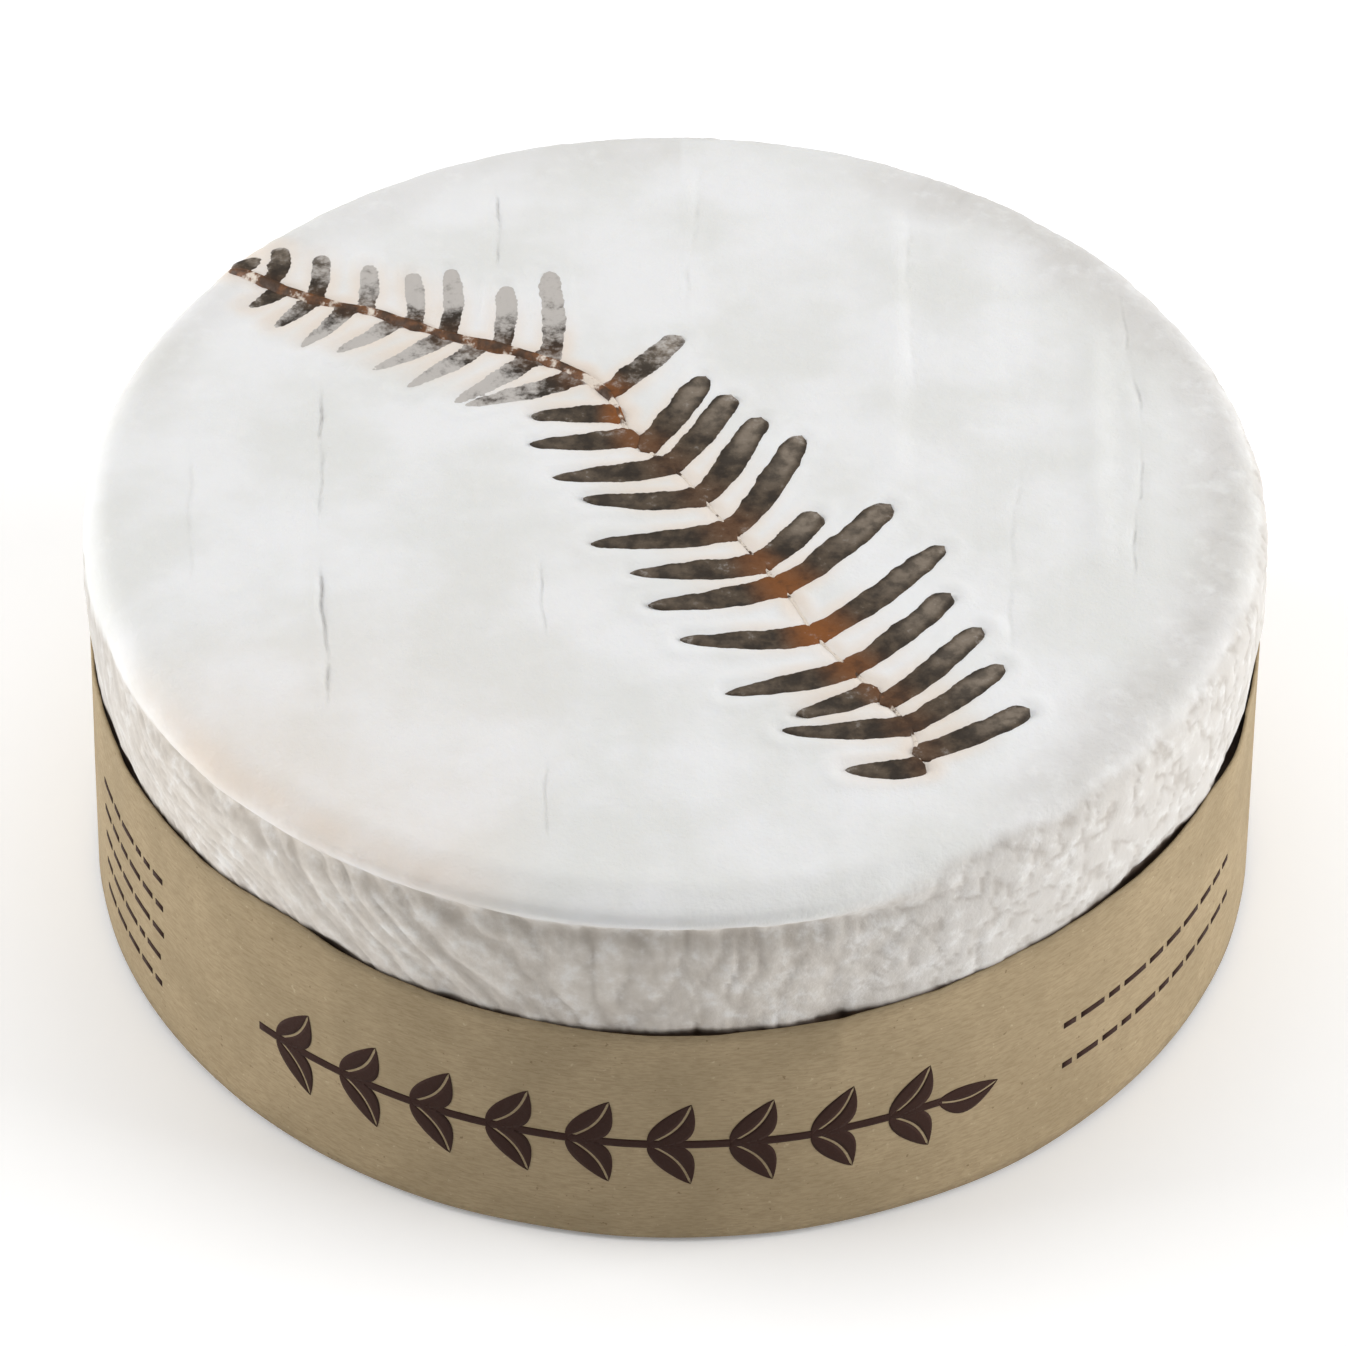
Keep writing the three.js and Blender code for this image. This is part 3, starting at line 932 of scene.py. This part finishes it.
def rind_material():
    shader = Shader("bloomy_rind")
    side = shader.attribute("side")
    valley = shader.attribute("valley")
    age = shader.attribute("age")
    patches = shader.noise(14, 4)
    mottle = shader.noise(2.6, 5, 0.62)
    fuzz = shader.noise(0.45, 3, 0.6)
    bloom = shader.mix(shader.spread(patches, 0.35, 0.68), srgb(237, 237, 237), srgb(227, 227, 224))
    bloom = shader.mix(shader.spread(mottle, 0.55, 0.8, 0, 0.3), bloom, srgb(242, 241, 238))
    aged_and_valley_shade = shader.mix(shader.spread(mottle, 0.3, 0.65), srgb(204, 196, 186), srgb(219, 213, 205))
    aged_and_valley_shade = shader.mix(age, srgb(197, 194, 190), aged_and_valley_shade)
    # Painted shade: the wrinkle valleys darkened towards grey-brown.
    aged_and_valley_shade = shader.mix(shader.math("MULTIPLY", valley, 0.5), aged_and_valley_shade, srgb(152, 142, 131))
    share = shader.math("MULTIPLY", side, shader.spread(mottle, 0.72, 0.5, 0.55, 1.0))
    colour = shader.mix(share, bloom, aged_and_valley_shade)
    uneven = shader.spread(patches, 0.3, 0.6, 0.45, 0.85)
    warm = shader.math("MULTIPLY", shader.attribute("warm"), uneven)
    colour = shader.mix(warm, colour, srgb(233, 219, 205))
    place = shader.nodes.new("ShaderNodeSeparateXYZ")
    shader.put(place.inputs[0], shader.place)
    lines = None
    for back, front, depth, width in MAT_CREASES:
        line = crease_line(shader, place.outputs[0], place.outputs[1], back, front, width * 0.8)
        line = shader.math("MULTIPLY", line, depth / 0.45)
        lines = line if lines is None else shader.math("MAXIMUM", lines, line)
    lines = shader.math("MULTIPLY", lines, shader.math("SUBTRACT", 1.0, side))
    lines = shader.math("MULTIPLY", lines, shader.spread(shader.noise(5, 3), 0.40, 0.62, 0.1, 1.0))
    # Painted shade: the mat's creases darkened to grey, over their geometry and bump.
    colour = shader.mix(shader.math("MULTIPLY", lines, 0.42), colour, srgb(178, 176, 172))
    # Dark brown below the band's top edge: damp rind and painted shade in the gap.
    colour = shader.mix(shader.attribute("damp_and_gap_shade"), colour, srgb(84, 64, 47))
    relief = shader.bump(mottle, 0.14)
    relief = shader.bump(fuzz, 0.05, relief)
    relief = shader.bump(shader.math("SUBTRACT", 1.0, lines), 0.18, relief)
    shader.finish_with(
        Base_Color=colour,
        Roughness=shader.spread(mottle, 0.3, 0.7, 0.8, 0.92),
        Normal=relief,
        Subsurface_Weight=0.12,
        Subsurface_Radius=(1.0, 0.85, 0.65),
        Subsurface_Scale=1.2 * MM,
        Sheen_Weight=0.12,
        Sheen_Roughness=0.6,
        Specular_IOR_Level=0.25,
    )
    return shader.material


def kraft_material():
    shader = Shader("kraft_paper")
    fibres = shader.noise(0.5, 4, 0.65, (2.6, 2.6, 0.5))
    clouds = shader.noise(9, 3, 0.5)
    specks = shader.noise(0.7, 2, 0.5)
    colour = shader.mix(shader.spread(clouds, 0.3, 0.7), srgb(159, 141, 110), srgb(171, 152, 120))
    colour = shader.mix(shader.spread(fibres, 0.35, 0.7, 0, 0.5), colour, srgb(134, 115, 86))
    colour = shader.mix(shader.spread(specks, 0.68, 0.78, 0, 0.6), colour, srgb(108, 87, 60))
    colour = shader.mix(shader.spread(specks, 0.32, 0.24, 0, 0.5), colour, srgb(192, 175, 146))
    shader.finish_with(
        Base_Color=colour,
        Roughness=shader.spread(fibres, 0.3, 0.7, 0.72, 0.86),
        Normal=shader.bump(fibres, 0.05, shader.bump(clouds, 0.2)),
        Specular_IOR_Level=0.3,
    )
    return shader.material


def ink_material():
    shader = Shader("brown_ink")
    wear = shader.noise(0.35, 4, 0.7)
    colour = shader.mix(shader.spread(wear, 0.6, 0.78, 0, 0.5), srgb(52, 30, 22), srgb(92, 68, 50))
    shader.finish_with(
        Base_Color=colour,
        Roughness=shader.spread(wear, 0.3, 0.7, 0.7, 0.85),
        Normal=shader.bump(wear, 0.02),
        Specular_IOR_Level=0.2,
    )
    return shader.material


def leaf_material():
    shader = Shader("dried_fern_leaf")
    along = shader.attribute("along")
    across = shader.math("ABSOLUTE", shader.attribute("across"))
    buried = shader.attribute("buried")
    grain = shader.noise(0.5, 4, 0.65)
    patches = shader.noise(2.2, 4, 0.6)
    colour = shader.mix(shader.spread(patches, 0.35, 0.65), srgb(50, 42, 34), srgb(86, 73, 59))
    middle = shader.spread(across, 0.75, 0.25)
    pale = shader.math("MULTIPLY", middle, shader.spread(along, 0.3, 0.8))
    pale = shader.math("MULTIPLY", pale, shader.attribute("grey"))
    pale = shader.math("MULTIPLY", pale, shader.spread(patches, 0.35, 0.6, 0.35, 0.9))
    colour = shader.mix(pale, colour, srgb(140, 128, 114))
    root = shader.math("MULTIPLY", shader.spread(along, 0.32, 0.02), shader.attribute("rust"))
    root = shader.math("MULTIPLY", root, shader.spread(patches, 0.3, 0.5, 0.55, 1.0))
    colour = shader.mix(root, colour, srgb(134, 80, 36))
    tip_frost = shader.spread(along, 0.8, 1.0, 0, 0.12)
    frost = shader.math("ADD", tip_frost, shader.math("MULTIPLY", grain, 0.5))
    frost = shader.math("ADD", frost, shader.math("SUBTRACT", patches, 0.75))
    hoar = shader.math("MULTIPLY", shader.spread(along, 0.1, 0.6, 0.18, 0.50), buried)
    edge_hoar = shader.math("MULTIPLY", shader.spread(across, 0.4, 1.0, 0, 0.25), buried)
    hoar = shader.math("ADD", hoar, edge_hoar)
    frost = shader.math("ADD", frost, hoar)
    colour = shader.mix(shader.spread(frost, 0.10, 0.5, 0, 0.9), colour, srgb(200, 195, 190))
    shader.finish_with(
        Base_Color=colour,
        Roughness=shader.spread(grain, 0.3, 0.7, 0.6, 0.8),
        Normal=shader.bump(grain, 0.06),
        Specular_IOR_Level=0.3,
    )
    return shader.material


def stem_material():
    shader = Shader("dried_fern_stalk")
    grain = shader.noise(0.5, 4, 0.6)
    patches = shader.noise(2.2, 3, 0.55)
    colour = shader.mix(shader.spread(patches, 0.4, 0.62), srgb(74, 50, 30), srgb(122, 76, 38))
    colour = shader.mix(shader.spread(grain, 0.45, 0.7, 0, 0.4), colour, srgb(52, 38, 26))
    flecks = shader.math("MULTIPLY", shader.math("SUBTRACT", grain, 0.5), 0.4)
    frost = shader.math("ADD", patches, flecks)
    frost = shader.math("SUBTRACT", frost, shader.math("MULTIPLY", shader.attribute("joint"), 0.3))
    colour = shader.mix(shader.spread(frost, 0.30, 0.44, 0, 0.93), colour, srgb(234, 222, 208))
    shader.finish_with(
        Base_Color=colour,
        Roughness=shader.spread(grain, 0.3, 0.7, 0.55, 0.75),
        Normal=shader.bump(grain, 0.06),
    )
    return shader.material


def floor_material():
    shader = Shader("pale_floor")
    shader.finish_with(Base_Color=srgb(252, 252, 252), Roughness=0.9, Specular_IOR_Level=0.1)
    shader.surface.inputs["Emission Color"].default_value = (1, 1, 1, 1)
    shader.surface.inputs["Emission Strength"].default_value = 0.18
    return shader.material


# ---------------------------------------------------------------- the studio

CAMERA_ELEVATION = math.radians(41.95)
CAMERA_DISTANCE = 1.082
CAMERA_LENS = 258.2
CAMERA_ROLL = math.radians(0.51)
AIM_BELOW = 0.00044  # the view's centre lies this far below the wheel's middle, on screen
WHEEL_MIDDLE = Vector((0, 0, 0.025))
FLOOR_REACH = 8.0
FLOOR_DROP = -0.0001  # keeps the floor clear of the wheel's base
WORLD_STRENGTH = 0.08
# Soft lights: name, place, size, watts
SOFTBOXES = [
    ("overhead", Vector((0, 0.32, 1.3)), (1.4, 1.2), 8.5),
    ("right_flank", Vector((1.1, -0.1, 0.42)), (0.8, 0.8), 13.2),
    ("left_flank", Vector((-1.1, 0.1, 0.42)), (0.8, 0.8), 12),
]


def add_camera():
    cosine, sine = math.cos(CAMERA_ELEVATION), math.sin(CAMERA_ELEVATION)
    back = Vector((0, -cosine, sine))
    upward = Vector((0, sine, cosine))
    data = bpy.data.cameras.new("camera")
    data.lens = CAMERA_LENS
    data.sensor_width = 36
    data.clip_end = 20
    camera = bpy.data.objects.new("camera", data)
    bpy.context.scene.collection.objects.link(camera)
    aim = WHEEL_MIDDLE - upward * AIM_BELOW
    camera.location = WHEEL_MIDDLE + back * CAMERA_DISTANCE
    turn = (aim - camera.location).to_track_quat("-Z", "Y").to_matrix()
    camera.rotation_euler = (turn @ Matrix.Rotation(CAMERA_ROLL, 3, "Z")).to_euler()
    bpy.context.scene.camera = camera


def add_softbox(name, place, size, watts):
    """A soft light aimed at the wheel and kept out of the picture."""
    data = bpy.data.lights.new(name, "AREA")
    data.shape = "RECTANGLE"
    data.size, data.size_y = size
    data.energy = watts
    lamp = bpy.data.objects.new(name, data)
    bpy.context.scene.collection.objects.link(lamp)
    lamp.location = place
    lamp.rotation_euler = (WHEEL_MIDDLE - lamp.location).to_track_quat("-Z", "Y").to_euler()
    lamp.visible_camera = False


def add_floor():
    mesh = bpy.data.meshes.new("floor")
    signs = [(-1, -1), (1, -1), (1, 1), (-1, 1)]
    corners = [(x * FLOOR_REACH, y * FLOOR_REACH, FLOOR_DROP) for x, y in signs]
    mesh.from_pydata(corners, [], [(0, 1, 2, 3)])
    mesh.materials.append(floor_material())
    floor = bpy.data.objects.new("floor", mesh)
    bpy.context.scene.collection.objects.link(floor)


def add_studio():
    world = bpy.data.worlds.new("studio")
    world.use_nodes = True
    background = world.node_tree.nodes["Background"]
    background.inputs["Color"].default_value = (1, 1, 1, 1)
    background.inputs["Strength"].default_value = WORLD_STRENGTH
    bpy.context.scene.world = world
    bpy.context.scene.view_settings.view_transform = "Standard"
    for name, place, size, watts in SOFTBOXES:
        add_softbox(name, place, size, watts)
    add_floor()


# ---------------------------------------------------------------- building


def build():
    add_camera()
    add_studio()
    ink = ink_material()
    leaf = leaf_material()
    build_rind(rind_material())
    build_band(kraft_material())
    build_sprig(ink)
    for marks in SMALL_MARKS:
        build_small_marks(*marks, ink)
    build_stem(stem_material())
    for index, leaflet in enumerate(LEAFLETS):
        build_leaflet(leaflet, index, leaf)


build()
